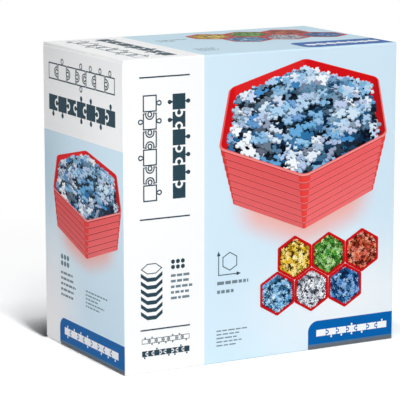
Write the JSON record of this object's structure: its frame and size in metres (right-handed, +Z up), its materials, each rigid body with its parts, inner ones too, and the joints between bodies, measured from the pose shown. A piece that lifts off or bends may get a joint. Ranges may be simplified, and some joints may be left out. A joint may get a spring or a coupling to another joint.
{
  "type": "printed retail carton",
  "caption": "Closed, glued retail carton of thin printed board, a nearly square upright box with lapped end flaps, sealed over its contents.",
  "frame": {"origin": "middle of the base, on the surface that the carton stands on", "axes": "+X to the right along the front panel, +Y to the back, +Z up; the front panel faces -Y"},
  "size_m": [0.25, 0.144, 0.248],
  "materials": {
    "printed_board": "white coated board with a satin varnish",
    "raw_board": "unprinted white board, matt at its cut edges",
    "pale_blue_ink": "satin varnished print",
    "blue_ink": "satin varnished print",
    "slate_ink": "satin varnished print",
    "picture_ink": "satin varnished print"
  },
  "bodies": {
    "root": {"carton": "printed_board"}
  },
  "joints": []
}
